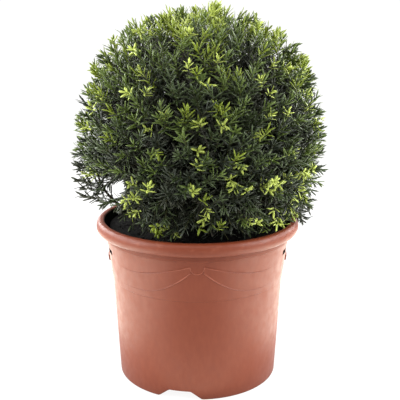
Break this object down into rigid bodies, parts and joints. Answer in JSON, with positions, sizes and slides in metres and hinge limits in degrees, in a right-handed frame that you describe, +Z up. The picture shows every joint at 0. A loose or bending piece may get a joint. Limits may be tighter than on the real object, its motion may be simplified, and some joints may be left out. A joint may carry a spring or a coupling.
{
  "type": "potted yew",
  "caption": "Clipped ball-shaped yew shrub with dense needle foliage, growing in a round terracotta-coloured plastic pot with a rolled lip and low festoon relief.",
  "frame": {"origin": "centre of the pot's foot, on the surface that it stands on", "axes": "+Z up along the pot's axis; -Y is the front, with the festoon's tab; +X is to the right of the front"},
  "size_m": [0.368, 0.367, 0.5471],
  "materials": {
    "terracotta_plastic": "moulded plastic in a terracotta colour, satin",
    "potting_soil": "dark moist potting soil, crumbly",
    "bark": "scaly reddish-brown yew bark",
    "yew_needles": "dark to yellow-green needles, slightly glossy on top"
  },
  "bodies": {
    "root": {"pot": "terracotta_plastic", "soil": "potting_soil", "stem": "bark", "bough_upper_1": "bark", "bough_upper_2": "bark", "bough_upper_3": "bark", "bough_upper_4": "bark", "bough_upper_5": "bark", "bough_lower_1": "bark", "bough_lower_2": "bark", "bough_lower_3": "bark", "bough_lower_4": "bark", "bough_lower_5": "bark", "bough_lower_6": "bark", "bough_low": "bark", "foliage_top": "yew_needles", "foliage_upper_1": "yew_needles", "foliage_upper_2": "yew_needles", "foliage_upper_3": "yew_needles", "foliage_upper_4": "yew_needles", "foliage_upper_5": "yew_needles", "foliage_lower_1": "yew_needles", "foliage_lower_2": "yew_needles", "foliage_lower_3": "yew_needles", "foliage_lower_4": "yew_needles", "foliage_lower_5": "yew_needles", "foliage_lower_6": "yew_needles", "foliage_low": "yew_needles"}
  },
  "joints": []
}
